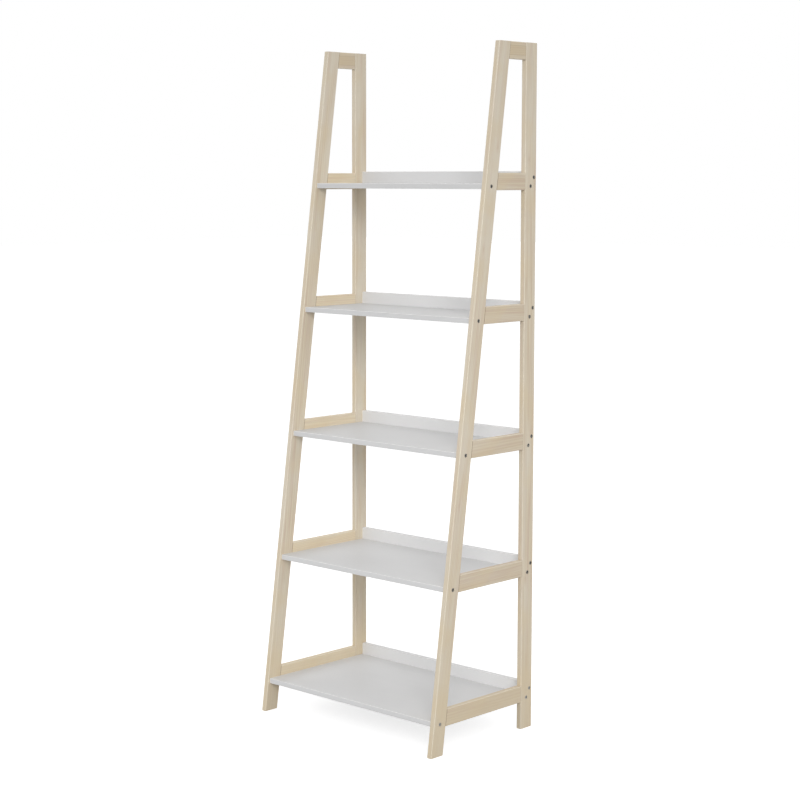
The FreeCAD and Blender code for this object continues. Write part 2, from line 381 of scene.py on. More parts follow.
@dataclass(frozen=True)
class Lie:
    """Where a bar or board lies, so that its finish can follow it.

    Attributes:
        middle: the middle of the piece.
        half_size: half its size in its own directions, with Z along the grain.
        turn: rotation about X that brings its length onto Z.
        cuts: planes where it meets its neighbours.
        number: which piece it is, which picks its place in the tree.
    """

    middle: Vector
    half_size: Triple
    turn: float = 0.0
    cuts: tuple[Plane, ...] = ()
    number: int = 0

    @property
    def offset(self) -> Triple:
        """Return where in the tree the piece was sawn."""
        row = self.number * 7 % 9
        column = self.number * 5 % 11
        return (0.045 + 0.011 * row, 0.020 + 0.013 * column, 2.3 * self.number)

    @property
    def drift(self) -> Triple:
        """Return how far the tree's middle wanders across the piece for each metre of length."""
        return (0.016 * math.sin(2.1 * self.number), 0.022 * math.cos(1.3 * self.number), 0.0)

    def own_place(self, sheet: Sheet) -> tuple[Wire, Wire]:
        """Add the nodes that give coordinates for this piece.

        Args:
            sheet: the material's sheet.

        Returns:
            Coordinates in the shelf's frame, and coordinates from the piece's own middle.
        """
        shared = sheet.add("ShaderNodeTexCoord").outputs["Object"]
        turn = Matrix.Rotation(self.turn, 3, "X")
        inputs = {"Vector": shared, "Location": -(turn @ self.middle), "Rotation": (self.turn, 0.0, 0.0)}
        return shared, sheet.add("ShaderNodeMapping", inputs, vector_type="POINT").outputs[0]


@dataclass(frozen=True)
class Knot:
    """A small knot, at a place in its bar's own directions."""

    centre: Triple
    radius: float


# Finishes


def start_material(label: str) -> tuple[bpy.types.Material, Sheet]:
    """Start a material and return it with its sheet."""
    material = bpy.data.materials.new(label)
    material.use_nodes = True
    material.node_tree.nodes.clear()
    return material, Sheet(material.node_tree)


@dataclass(frozen=True)
class Finish:
    """What all the finishes of the shelf have in common."""

    effects: Effects

    def edge(self, sheet: Sheet, own: Wire, half_size: Triple, width: float) -> Wire:
        """Add the mask of a piece's edges."""
        inputs = {"Vector": own, "Half Size": half_size, "Width": width}
        return sheet.group(self.effects.edges, inputs)["Edge"]

    def handled(self, sheet: Sheet, place: Wire, blotch: float, speck: float) -> dict[str, Wire]:
        """Add the blotches and specks of a surface, at the given scales."""
        inputs = {"Vector": place, "Blotch Scale": blotch, "Speck Scale": speck}
        return sheet.group(self.effects.handling, inputs)

    def relief(self, sheet: Sheet, height: Wire, strength: float, depth: float) -> Wire:
        """Turn a height into a bumped normal.

        Args:
            sheet: the material's sheet.
            height: the height's wire.
            strength: how much of the relief shows, from 0 to 1.
            depth: the relief's depth in metres.

        Returns:
            The normal's wire.
        """
        inputs = {"Height": height, "Strength": strength, "Distance": depth}
        return sheet.add("ShaderNodeBump", inputs).outputs[0]


@dataclass(frozen=True)
class PaleTimber(Finish):
    """Pale softwood, thinly washed white under matt clear lacquer, with painted highlights along its edges
    and painted shade low down, darker and yellower towards the floor.
    """

    early_wood: Colour = (0.735, 0.645, 0.495)
    late_wood: Colour = (0.585, 0.470, 0.325)
    blush: Colour = (0.640, 0.505, 0.390)
    wash: Colour = (0.775, 0.725, 0.620)
    # Colour of the eased edges: partly worn white wash, partly a painted highlight
    edge_wash: Colour = (0.850, 0.800, 0.685)
    end_wood: Colour = (0.590, 0.480, 0.340)
    # Colour of the painted shade band on the top rail
    band_shade: Colour = (0.630, 0.510, 0.335)
    # Honey tone of the blotches, also the colour of the painted shade towards the floor
    honey: Colour = (0.715, 0.590, 0.395)
    shadow: Colour = (0.300, 0.235, 0.165)
    ring_width: float = 0.0042
    waviness: float = 0.012
    wash_least: float = 0.06
    wash_most: float = 0.56
    edge_width: float = 0.0026
    line_width: float = 0.0013
    line_strength: float = 0.55
    band_half_height: float = 0.0
    # Painted foot shade: how high it reaches, and its share at the floor
    honey_reach: float = 0.42
    honey_most: float = 0.45

    def make(self, lie: Lie, label: str, knots: tuple[Knot, ...] = ()) -> bpy.types.Material:
        """Build the material of one bar, with the knots that show on it."""
        material, sheet = start_material(f"pale_timber.{label}")
        shared, own = lie.own_place(sheet)
        grain_inputs = {"Vector": own, "Offset": lie.offset, "Drift": lie.drift}
        grain_inputs.update({"Ring Width": self.ring_width, "Waviness": self.waviness})
        grain = sheet.group(self.effects.grain, grain_inputs)
        edge = self.edge(sheet, own, (*lie.half_size[:2], FAR), self.edge_width)
        handled = self.handled(sheet, own, blotch=7.0, speck=700.0)

        colour = sheet.mix(sheet.math("MULTIPLY", grain["Rings"], 0.46), self.early_wood, self.late_wood)
        colour = sheet.mix(sheet.step(grain["Streaks"], 0.46, 0.66, 0.0, 0.85), colour, self.blush)
        wash_share = sheet.step(grain["Tone"], 0.34, 0.64, self.wash_least, self.wash_most)
        colour = sheet.mix(wash_share, colour, self.wash)
        colour = sheet.mix(sheet.step(grain["Fibres"], 0.35, 0.75, 0.0, 0.20), colour, self.late_wood)
        colour = sheet.mix(sheet.math("MULTIPLY", grain["Pores"], 0.25), colour, self.late_wood)
        colour = sheet.mix(sheet.step(handled["Blotches"], 0.46, 0.64, 0.0, 0.42), colour, self.honey)
        # Painted shade: darker and yellower towards the floor, where less light reaches
        height = sheet.axis(shared, "Z")
        painted_foot_shade = sheet.step(height, 0.0, self.honey_reach, self.honey_most, 0.0)
        colour = sheet.mix(painted_foot_shade, colour, self.honey)
        # Painted shade band and painted step shadow lines, on the top rail only
        if self.band_half_height:
            colour = self.heart_band(sheet, own, colour)
        for knot in knots:
            colour = self.with_knot(sheet, own, colour, knot)
        # Painted highlight: the edges are lightened, partly as worn white wash and partly as a painted
        # highlight along each corner
        colour = sheet.mix(sheet.math("MULTIPLY", edge, 0.42), colour, self.edge_wash)
        colour = self.with_cut_ends(sheet, shared, colour, lie)

        gloss = sheet.step(grain["Fibres"], 0.2, 0.8, 0.46, 0.60)
        gloss = sheet.math("MULTIPLY_ADD", edge, -0.07, gloss)
        normal = self.relief(sheet, grain["Height"], 0.35, 0.15 * MILLIMETRE)
        inputs = {"Base Color": colour, "Roughness": gloss, "Normal": normal}
        sheet.surface({**inputs, "Specular IOR Level": 0.35})
        return material

    def heart_band(self, sheet: Sheet, own: Wire, colour: Wire) -> Wire:
        """Paint a darker, yellower shade band along the middle of a bar, edged by painted shadow lines, as
        the painted shading of a stepped profile.
        """
        across = sheet.math("ABSOLUTE", sheet.axis(own, "Y"))
        blur = 0.6 * MILLIMETRE
        inside = sheet.step(across, self.band_half_height - blur, self.band_half_height + blur, 0.55, 0.0)
        away = sheet.math("ABSOLUTE", sheet.math("SUBTRACT", across, self.band_half_height))
        # Painted shadow lines along the band's edges
        rim = sheet.step(away, 0.3 * MILLIMETRE, 1.3 * MILLIMETRE, 0.22, 0.0)
        colour = sheet.mix(inside, colour, self.band_shade)
        return sheet.mix(rim, colour, self.shadow)

    def with_knot(self, sheet: Sheet, own: Wire, colour: Wire, knot: Knot) -> Wire:
        """Add one small knot to the colour."""
        inputs = {"Vector": own, "Centre": knot.centre, "Radius": knot.radius}
        marks = sheet.group(self.effects.knot, inputs)
        colour = sheet.mix(sheet.math("MULTIPLY", marks["Halo"], 0.32), colour, self.blush)
        return sheet.mix(sheet.math("MULTIPLY", marks["Core"], 0.40), colour, self.end_wood)

    def with_cut_ends(self, sheet: Sheet, shared: Wire, colour: Wire, lie: Lie) -> Wire:
        """Deepen the end grain, and draw the glue lines where the bar meets its neighbours.

        Args:
            sheet: the material's sheet.
            shared: coordinates in the shelf's frame.
            colour: the colour so far.
            lie: where the bar lies.

        Returns:
            The colour's wire.
        """
        facing = sheet.add("ShaderNodeNewGeometry").outputs["True Normal"]
        axis = Matrix.Rotation(-lie.turn, 3, "X") @ Vector((0.0, 0.0, 1.0))
        end_on = sheet.math("ABSOLUTE", sheet.measure("DOT_PRODUCT", facing, tuple(axis)))
        colour = sheet.mix(sheet.step(end_on, 0.80, 0.97, 0.0, 0.45), colour, self.end_wood)
        for cut in lie.cuts:
            inputs = {"Vector": shared, "Normal": cut.normal, "Offset": cut.offset, "Width": self.line_width}
            line = sheet.group(self.effects.line, inputs)["Line"]
            colour = sheet.mix(sheet.math("MULTIPLY", line, self.line_strength), colour, self.shadow)
        return colour


@dataclass(frozen=True)
class WhitePaint(Finish):
    """Smooth board sprayed satin white."""

    paint: Colour
    shade: Colour
    # Lighter colour of the board's edges: thinner paint and a painted highlight
    thin: Colour = (0.860, 0.858, 0.850)
    edge_width: float = 0.0024
    roughness_least: float = 0.48
    roughness_most: float = 0.52

    def make(self, lie: Lie, label: str) -> bpy.types.Material:
        """Build the material of one board."""
        material, sheet = start_material(f"white_paint.{label}")
        own = lie.own_place(sheet)[1]
        edge = self.edge(sheet, own, lie.half_size, self.edge_width)
        moved = sheet.vector("ADD", own, lie.offset)
        handled = self.handled(sheet, moved, blotch=6.0, speck=420.0)
        rolled = sheet.noise(sheet.vector("MULTIPLY", moved, (5.0, 60.0, 60.0)), 1.0, 3.0)

        colour = sheet.mix(sheet.step(handled["Blotches"], 0.35, 0.68, 0.0, 0.6), self.paint, self.shade)
        colour = sheet.mix(sheet.step(rolled, 0.35, 0.70, 0.0, 0.25), colour, self.shade)
        # Painted highlight along the board's edges, where the paint also lies thinner
        colour = sheet.mix(sheet.math("MULTIPLY", edge, 0.7), colour, self.thin)

        gloss = sheet.step(handled["Specks"], 0.3, 0.7, self.roughness_least, self.roughness_most)
        normal = self.relief(sheet, handled["Specks"], 0.25, 0.05 * MILLIMETRE)
        inputs = {"Base Color": colour, "Roughness": gloss, "Normal": normal}
        sheet.surface({**inputs, "Specular IOR Level": 0.20})
        return material


@dataclass(frozen=True)
class BurnishedSteel(Finish):
    """Dark zinc-nickel steel, turned on a lathe, with a painted highlight ring round its head's edge and
    painted shade in its socket.
    """

    label: str = "burnished_steel"
    dark: Colour = (0.340, 0.336, 0.316)
    # Bright tone of the lathe marks, also the colour of the painted highlight ring
    bright: Colour = (0.620, 0.610, 0.580)
    # Colour of oily blotches, also the painted shade in the socket
    oil: Colour = (0.200, 0.196, 0.180)

    @classmethod
    def fresh(cls, effects: Effects) -> "BurnishedSteel":
        """Return a paler, lit copy of the steel for the lowest screws, as painted light."""
        dark, bright, oil = (0.660, 0.655, 0.630), (0.800, 0.795, 0.770), (0.440, 0.436, 0.415)
        return cls(effects, "fresh_steel", dark, bright, oil)

    def make(self, head_radius: float) -> bpy.types.Material:
        """Build the material of a screw whose axis is its own Z."""
        material, sheet = start_material(self.label)
        own = sheet.add("ShaderNodeTexCoord").outputs["Object"]
        radius = sheet.measure("LENGTH", sheet.vector("MULTIPLY", own, (1.0, 1.0, 0.0)))
        depth = sheet.axis(own, "Z")
        lathe = sheet.add("ShaderNodeCombineXYZ", {0: radius, 1: depth}).outputs[0]
        turned = sheet.noise(lathe, 9000.0, 2.0)
        handled = self.handled(sheet, own, blotch=420.0, speck=5200.0)

        colour = sheet.mix(sheet.step(handled["Blotches"], 0.35, 0.70, 0.0, 0.6), self.dark, self.oil)
        colour = sheet.mix(sheet.step(turned, 0.45, 0.75, 0.0, 0.25), colour, self.bright)
        # Painted highlight: a bright ring round the head's edge
        rim_start = head_radius - 0.45 * MILLIMETRE
        rim = sheet.step(radius, rim_start, head_radius - 0.10 * MILLIMETRE, 0.0, 0.50)
        colour = sheet.mix(rim, colour, self.bright)
        # Painted shade: the socket is darkened below the head face
        sunk = sheet.step(depth, -1.2 * MILLIMETRE, -0.2 * MILLIMETRE, 1.0, 0.0)
        socket_shade_share = sheet.step(radius, 2.7 * MILLIMETRE, 3.1 * MILLIMETRE, 0.6, 0.0)
        colour = sheet.mix(sheet.math("MULTIPLY", sunk, socket_shade_share), colour, self.oil)

        gloss = sheet.step(turned, 0.2, 0.8, 0.30, 0.46)
        normal = self.relief(sheet, turned, 0.3, 0.01 * MILLIMETRE)
        sheet.surface({"Base Color": colour, "Roughness": gloss, "Metallic": 1.0, "Normal": normal})
        return material


@dataclass(frozen=True)
class BareBeech(Finish):
    """Dry beech of the dowels, with short flecks."""

    light: Colour = (0.560, 0.385, 0.230)
    fleck: Colour = (0.380, 0.225, 0.120)

    def make(self, lie: Lie, label: str) -> bpy.types.Material:
        """Build the material of a row of dowels."""
        material, sheet = start_material(f"bare_beech.{label}")
        own = lie.own_place(sheet)[1]
        grain_inputs = {"Vector": own, "Offset": lie.offset, "Ring Width": 0.0018, "Waviness": 0.003}
        grain = sheet.group(self.effects.grain, grain_inputs)
        colour = sheet.mix(sheet.math("MULTIPLY", grain["Rings"], 0.5), self.light, self.fleck)
        colour = sheet.mix(sheet.math("MULTIPLY", grain["Pores"], 0.6), colour, self.fleck)

        gloss = sheet.step(grain["Fibres"], 0.2, 0.8, 0.62, 0.80)
        normal = self.relief(sheet, grain["Height"], 0.4, 0.1 * MILLIMETRE)
        sheet.surface({"Base Color": colour, "Roughness": gloss, "Normal": normal})
        return material


# Sub-assemblies


def dress(name: str, material: bpy.types.Material) -> None:
    """Give all the slots of a CAD node a material, and log it."""
    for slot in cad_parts[name].material_slots:
        slot.material = material
    log.info("dressed %s in %s", name, material.name)


def add_to_scene(name: str, data: bpy.types.ID) -> bpy.types.Object:
    """Make an object of a mesh, a light or a camera, and put it in the scene."""
    piece = bpy.data.objects.new(name, data)
    bpy.context.collection.objects.link(piece)
    return piece


def middle_and_half(name: str) -> tuple[Vector, Vector]:
    """Return the middle of a CAD node's box and half its size."""
    low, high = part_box(name)
    return (low + high) / 2.0, (high - low) / 2.0


def box_lie(name: str, number: int, turn: float = 0.0) -> Lie:
    """Work out where a CAD node lies that is as large as its box, for its place in the order of sawing."""
    middle, half = middle_and_half(name)
    return Lie(middle, tuple(half), turn, number=number)


def solids_in(name: str) -> list[tuple[Vector, Vector]]:
    """Find the separate solids of a CAD node.

    Args:
        name: the CAD node.

    Returns:
        Lowest and highest corner of each solid, from the lowest solid to the highest.
    """
    mesh = bmesh.new()
    mesh.from_mesh(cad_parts[name].data)
    bmesh.ops.remove_doubles(mesh, verts=mesh.verts, dist=0.001 * MILLIMETRE)
    left = set(mesh.verts)
    boxes = []
    while left:
        reached = [left.pop()]
        for corner in reached:
            near = [edge.other_vert(corner) for edge in corner.link_edges]
            fresh = [other for other in near if other in left]
            left.difference_update(fresh)
            reached.extend(fresh)
        low = Vector([min(corner.co[axis] for corner in reached) for axis in range(3)])
        high = Vector([max(corner.co[axis] for corner in reached) for axis in range(3)])
        boxes.append((low, high))
    mesh.free()
    return sorted(boxes, key=lambda box: box[0].z)


# Where knots lie across a leg, as shares of half its width
KNOT_SIDES = (-0.35, 0.45)

# Rail colours of each side: lighter on the left as painted light, darker and browner on the right as painted
# shade
RAIL_LIGHT_AND_SHADE = {
    Side.LEFT: {
        "early_wood": (0.800, 0.692, 0.508),
        "late_wood": (0.662, 0.530, 0.356),
        "blush": (0.715, 0.570, 0.420),
    },
    Side.RIGHT: {
        "early_wood": (0.700, 0.605, 0.460),
        "late_wood": (0.555, 0.435, 0.300),
        "blush": (0.610, 0.470, 0.360),
    },
}


@dataclass
class SideFrame:
    """One side frame: a leaning front leg, an upright rear leg and the rails between them.

    Attributes:
        side: which side it stands on.
        effects: the shared node groups.
        lean: angle of the front leg from upright.
        leg_width: width of a leg, seen from the side.
        rear_foot_y: Y of the front leg's rear face, drawn down to the floor.
    """

    side: Side
    effects: Effects
    lean: float = field(init=False)
    leg_width: float = field(init=False)
    rear_foot_y: float = field(init=False)

    def __post_init__(self) -> None:
        """Work out the lean and the leg's width from the rails' front ends."""
        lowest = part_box(f"{self.side.word}_side_rail_{LEVELS[0]}")[0]
        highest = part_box(f"{self.side.word}_side_rail_{LEVELS[-1]}")[0]
        slope = (highest.y - lowest.y) / (highest.z - lowest.z)
        self.lean = math.atan(slope)
        self.rear_foot_y = lowest.y - lowest.z * slope
        front_foot_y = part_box(f"{self.side.word}_front_leg")[0].y
        self.leg_width = (self.rear_foot_y - front_foot_y) * math.cos(self.lean)

    @property
    def rail_timber(self) -> PaleTimber:
        """Return the finish of the side rails, browner and darker on the right as painted shade, and sunnier
        and lighter on the left as painted light.
        """
        # Painted light on the left rails and painted shade on the right ones
        side_tone = RAIL_LIGHT_AND_SHADE[self.side]
        return PaleTimber(self.effects, **side_tone, wash_least=0.0, wash_most=0.30, line_strength=0.45)

    @property
    def top_rail_timber(self) -> PaleTimber:
        """Return the finish of the top rail, with less white wash and a painted shade band along its middle,
        edged by painted shadow lines.
        """
        wash = {"wash_least": 0.0, "wash_most": 0.12}
        return PaleTimber(self.effects, **wash, line_strength=0.60, band_half_height=0.0125)

    def number(self, step: int) -> int:
        """Return the place of a piece in the order of sawing: legs, rails, top rail, dowels."""
        return step if self.side is Side.LEFT else step + FIRST_RIGHT_BAR

    def leg_lie(self, kind: str, run: GrainRun, step: int) -> Lie:
        """Work out where a leg lies.

        Args:
            kind: which leg, as its CAD node's name ends.
            run: which way its grain runs.
            step: its place in the order of sawing.

        Returns:
            Where it lies.
        """
        middle, half = middle_and_half(f"{self.side.word}_{kind}")
        turn = self.lean if run is GrainRun.LEANING else 0.0
        return Lie(middle, (half.x, self.leg_width / 2.0, half.z), turn, number=self.number(step))

    def rail_lie(self, name: str, step: int) -> Lie:
        """Work out where a rail lies, with the planes of the two legs that it meets.

        Args:
            name: the rail's CAD node.
            step: its place in the order of sawing.

        Returns:
            Where it lies.
        """
        middle, half = middle_and_half(name)
        normal = (0.0, math.cos(self.lean), -math.sin(self.lean))
        front = Plane(normal, self.rear_foot_y * math.cos(self.lean))
        rear = Plane((0.0, 1.0, 0.0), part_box(name)[1].y)
        return Lie(middle, (half.x, half.z, half.y), QUARTER_TURN, (front, rear), self.number(step))

    def knots(self, lie: Lie, heights: tuple[float, ...], radius: float) -> tuple[Knot, ...]:
        """Place knots on a leg's outer face.

        Args:
            lie: where the leg lies.
            heights: places along the leg, from -1 at the foot to 1 at the top.
            radius: the knots' radius.

        Returns:
            The knots, alternately left and right of the leg's middle.
        """
        found = []
        for index, height in enumerate(heights):
            share = (self.side.value, KNOT_SIDES[index % 2], height)
            centre = tuple(part * half for part, half in zip(share, lie.half_size))
            found.append(Knot(centre, radius))
        return tuple(found)

    def dress_leg(self, kind: str, lie: Lie, knots: tuple[Knot, ...]) -> None:
        """Give one leg its timber."""
        name = f"{self.side.word}_{kind}"
        dress(name, PaleTimber(self.effects).make(lie, name, knots))

    def dress_legs(self) -> None:
        """Give both legs their timber."""
        front = self.leg_lie("front_leg", GrainRun.LEANING, 1)
        self.dress_leg("front_leg", front, self.knots(front, (0.42, 0.71, -0.30), 2.6 * MILLIMETRE))
        rear = self.leg_lie("rear_leg", GrainRun.UPRIGHT, 2)
        self.dress_leg("rear_leg", rear, self.knots(rear, (0.67, -0.12, -0.55), 3.0 * MILLIMETRE))

    def dress_rails(self) -> None:
        """Give the side rails and the top rail their timber."""
        for level in LEVELS:
            name = f"{self.side.word}_side_rail_{level}"
            dress(name, self.rail_timber.make(self.rail_lie(name, 2 + level), name))
        name = f"{self.side.word}_top_rail"
        dress(name, self.top_rail_timber.make(self.rail_lie(name, 3 + LEVELS[-1]), name))

    def dress_dowels(self) -> None:
        """Give the frame's hidden dowels their beech."""
        name = f"{self.side.word}_frame_dowels"
        lie = box_lie(name, self.number(4 + LEVELS[-1]), QUARTER_TURN)
        dress(name, BareBeech(self.effects).make(lie, name))

    def make(self) -> None:
        """Dress the whole side frame."""
        self.dress_legs()
        self.dress_rails()
        self.dress_dowels()


@dataclass
class ShelfTier:
    """One shelf with the low rail along its back.

    Attributes:
        level: its number, from the floor up.
        effects: the shared node groups.
        shade_drop: how much duller the paint's blotches are.
        paint_blue: how much bluer than grey the paint is.
        shade_blue: how much bluer than grey its blotches are.
    """

    level: int
    effects: Effects
    shade_drop: float = 0.026
    paint_blue: float = 0.002
    shade_blue: float = 0.004

    def dress_board(self, kind: str, step: int, paint: WhitePaint) -> None:
        """Paint one board.

        Args:
            kind: the first part of its CAD node's name.
            step: its place in the order of sawing, before its level is added.
            paint: its paint.
        """
        name = f"{kind}_{self.level}"
        dress(name, paint.make(box_lie(name, step + self.level), name))

    def coat(self, lightness: float, fall: float) -> WhitePaint:
        """Mix the paint of one board, which is a touch darker on each tier than on the one below, as painted
        shade on the higher tiers.

        Args:
            lightness: how light the paint would be one tier below the lowest.
            fall: how much of that is lost with each tier.

        Returns:
            The paint.
        """
        # Painted shade: the paint darkens with each tier up
        light = lightness - fall * self.level
        dull = light - self.shade_drop
        paint = (light, light, light + self.paint_blue)
        return WhitePaint(self.effects, paint, (dull, dull, dull + self.shade_blue))

    def make(self) -> None:
        """Paint the shelf, and its back rail in a lighter coat, as painted light on the front-facing back
        rail.
        """
        self.dress_board("shelf", FIRST_SHELF, self.coat(lightness=0.755, fall=0.0125))
        # Painted light on the back rail, whose coat also darkens faster with each tier as painted shade
        self.dress_board("back_rail", FIRST_BACK_RAIL, self.coat(lightness=0.875, fall=0.0240))


@dataclass
class ConnectorScrew:
    """A hex-socket screw, with the middle of its head face at its origin and its tip towards -Z.

    Attributes:
        length: overall length.
        head_radius: radius of the head.
        rim_height: height of the head's straight rim.
        cone_height: height of the cone under the head.
        shank_radius: radius of the shank and of the thread's crest.
        root_radius: radius at the thread's root.
        plain_length: length from the head face to the start of the thread.
        pitch: distance from one turn of the thread to the next.
        tip_length: length of the tapered tip.
        socket_width: width of the socket across its flats.
        socket_depth: depth of the socket.
        socket_taper: how much narrower the socket is at its floor.
        socket_lip: width of the bevel round the socket's mouth.
        socket_point: depth of the drill point in the socket's floor.
        edge_width: how far the head's rounded edge reaches in from its rim.
        ridge_half_width: half the width of the thread's ridge, in pitches.
        tip_share: the tip's end radius as a share of the root's.
        rings_per_turn: rings along one turn of the thread.
        segments: points round each ring.
    """

    length: float
    head_radius: float
    rim_height: float = 0.8 * MILLIMETRE
    cone_height: float = 2.6 * MILLIMETRE
    shank_radius: float = 3.15 * MILLIMETRE
    root_radius: float = 2.3 * MILLIMETRE
    plain_length: float = 14.7 * MILLIMETRE
    pitch: float = 3.0 * MILLIMETRE
    tip_length: float = 4.0 * MILLIMETRE
    socket_width: float = 5.0 * MILLIMETRE
    socket_depth: float = 2.4 * MILLIMETRE
    socket_taper: float = 0.05 * MILLIMETRE
    socket_lip: float = 0.22 * MILLIMETRE
    socket_point: float = 0.5 * MILLIMETRE
    edge_width: float = 0.45 * MILLIMETRE
    ridge_half_width: float = 0.28
    tip_share: float = 0.4
    rings_per_turn: float = 7.0
    segments: int = 24

    def ring(self, depth: float, radius_at: Callable[[float], float]) -> list[Vector]:
        """Return a ring of points at a depth below the head face, with a radius for each angle."""
        points = []
        for index in range(self.segments):
            angle = FULL_TURN * index / self.segments
            radius = radius_at(angle)
            points.append(Vector((radius * math.cos(angle), radius * math.sin(angle), -depth)))
        return points

    def round_ring(self, radius: float, depth: float) -> list[Vector]:
        """Return a circle at a depth below the head face."""
        return self.ring(depth, lambda angle: radius)

    def hex_ring(self, grow: float, depth: float) -> list[Vector]:
        """Return the socket's six-sided outline, grown outwards, at a depth below the head face."""
        sixth = FULL_TURN / 6.0
        half_width = self.socket_width / 2.0 + grow
        return self.ring(depth, lambda angle: half_width / math.cos(angle % sixth - sixth / 2.0))

    def thread_ring(self, depth: float, end: float) -> list[Vector]:
        """Return one ring of the thread, whose ridge winds round as the depth grows."""
        fade = min(1.0, (depth - self.plain_length) / self.pitch, (end - depth) / self.pitch)

        def radius_at(angle: float) -> float:
            """Return the thread's radius at an angle."""
            phase = (depth / self.pitch - angle / FULL_TURN) % 1.0
            ridge = max(0.0, 1.0 - abs(phase - 0.5) / self.ridge_half_width)
            return self.root_radius + (self.shank_radius - self.root_radius) * ridge * max(0.0, fade)

        return self.ring(depth, radius_at)

    def rings(self) -> list[list[Vector]]:
        """Return all the rings, from the socket's floor over the head and down to the tip."""
        cone_end = self.rim_height + self.cone_height
        thread_end = self.length - self.tip_length
        found = [
            self.hex_ring(-self.socket_taper, self.socket_depth),
            self.hex_ring(0.0, 0.25 * MILLIMETRE),
            self.hex_ring(self.socket_lip, 0.0),
            self.round_ring(self.head_radius - self.edge_width, 0.0),
            self.round_ring(self.head_radius - 0.13 * MILLIMETRE, 0.10 * MILLIMETRE),
            self.round_ring(self.head_radius, 0.38 * MILLIMETRE),
            self.round_ring(self.head_radius, self.rim_height),
            self.round_ring(self.shank_radius, cone_end),
            self.round_ring(self.shank_radius, self.plain_length),
            self.round_ring(self.root_radius, self.plain_length + 0.4 * MILLIMETRE),
        ]
        steps = int((thread_end - self.plain_length) / self.pitch * self.rings_per_turn)
        for step in range(2, steps):
            depth = self.plain_length + (thread_end - self.plain_length) * step / steps
            found.append(self.thread_ring(depth, thread_end))
        found.append(self.round_ring(self.root_radius, thread_end))
        found.append(self.round_ring(self.tip_share * self.root_radius, self.length))
        return found

    def build_mesh(self) -> bpy.types.Mesh:
        """Build the screw's closed mesh.

        Returns:
            The mesh, smooth but for its sharp edges.
        """
        shape = bmesh.new()
        floor = shape.verts.new((0.0, 0.0, -self.socket_depth - self.socket_point))
        rows = [[shape.verts.new(point) for point in ring] for ring in self.rings()]
        tip = shape.verts.new((0.0, 0.0, -self.length))
        for index in range(self.segments):
            after = (index + 1) % self.segments
            shape.faces.new((floor, rows[0][index], rows[0][after]))
            for upper, lower in zip(rows, rows[1:]):
                shape.faces.new((upper[index], lower[index], lower[after], upper[after]))
            shape.faces.new((rows[-1][index], tip, rows[-1][after]))
        bmesh.ops.recalc_face_normals(shape, faces=shape.faces)
        mesh = bpy.data.meshes.new("connector_screw")
        shape.to_mesh(mesh)
        shape.free()
        mesh.shade_smooth()
        mesh.set_sharp_from_angle(angle=SHARP_ANGLE)
        return mesh


@dataclass
class ScrewRow:
    """The screws of one kind in one side frame, one for each shelf.

    Attributes:
        side: which side frame they go into.
        place: what they hold.
        mesh: the mesh of one screw.
        lowest_mesh: the mesh of the screw at the lowest shelf.
        turn_by_level: how much further each screw is driven than the one below.
        turn_by_side: how much further the right side's screws are driven.
    """

    side: Side
    place: ScrewPlace
    mesh: bpy.types.Mesh
    lowest_mesh: bpy.types.Mesh
    turn_by_level: float = 2.4
    turn_by_side: float = 0.7

    @property
    def node(self) -> str:
        """Return the CAD node that the row stands for."""
        return f"{self.side.word}_{self.place.value}_screws"

    def make(self) -> None:
        """Put a screw where each CAD screw is, each driven to its own angle."""
        for level, (low, high) in zip(LEVELS, solids_in(self.node)):
            mesh = self.lowest_mesh if level == LEVELS[0] else self.mesh
            piece = add_to_scene(f"{self.side.word}_{self.place.value}_screw_{level}", mesh)
            face_x = high.x if self.side is Side.RIGHT else low.x
            piece.location = (face_x, (low.y + high.y) / 2.0, (low.z + high.z) / 2.0)
            outward = Matrix.Rotation(self.side.value * QUARTER_TURN, 3, "Y")
            turn = self.turn_by_level * level + self.turn_by_side * self.side.value
            piece.rotation_euler = (outward @ Matrix.Rotation(turn, 3, "Z")).to_euler()
            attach(piece, "root")
            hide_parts(self.node)
            log.info("placed %s", piece.name)


@dataclass
class Fasteners:
    """All the screws, and the dowels that hold the back rails to the shelves.

    Attributes:
        effects: the shared node groups.
    """

    effects: Effects

    def make(self) -> None:
        """Build a screw in dark steel and one in a paler, lit copy of it, put one in every hole, and dress
        the dowels.
        """
        low, high = solids_in("right_front_shelf_screws")[0]
        size = high - low
        mesh = self.build_screw(size, BurnishedSteel(self.effects))
        # Painted light: the lowest screws get a paler, lit copy of the steel
        lowest_mesh = self.build_screw(size, BurnishedSteel.fresh(self.effects))
        for side in Side:
            for place in ScrewPlace:
                ScrewRow(side, place, mesh, lowest_mesh).make()
        name = "back_rail_dowels"
        dress(name, BareBeech(self.effects).make(box_lie(name, BOARD_DOWELS), name))

    def build_screw(self, size: Vector, steel: BurnishedSteel) -> bpy.types.Mesh:
        """Build the mesh of one screw in a given steel.

        Args:
            size: the box that the screw fills.
            steel: its finish.

        Returns:
            The mesh.
        """
        head_radius = size.z / 2.0
        mesh = ConnectorScrew(length=size.x, head_radius=head_radius).build_mesh()
        mesh.materials.append(steel.make(head_radius))
        return mesh


# Studio and camera


@dataclass
class SoftBox:
    """A square soft light.

    Attributes:
        name: its name.
        place: where it hangs.
        aim: the point that it faces.
        width: its width.
        power: its power in watts.
        spread: angle that its grid lets the light out in.
    """

    name: str
    place: Triple
    aim: Triple
    width: float
    power: float
    spread: float = math.pi

    def make(self) -> None:
        """Hang the light."""
        lamp = bpy.data.lights.new(self.name, "AREA")
        lamp.energy = self.power
        lamp.size = self.width
        lamp.spread = self.spread
        piece = add_to_scene(self.name, lamp)
        piece.location = self.place
        direction = Vector(self.aim) - Vector(self.place)
        piece.rotation_euler = direction.to_track_quat("-Z", "Y").to_euler()
        piece.visible_camera = False
        log.info("hung %s", self.name)


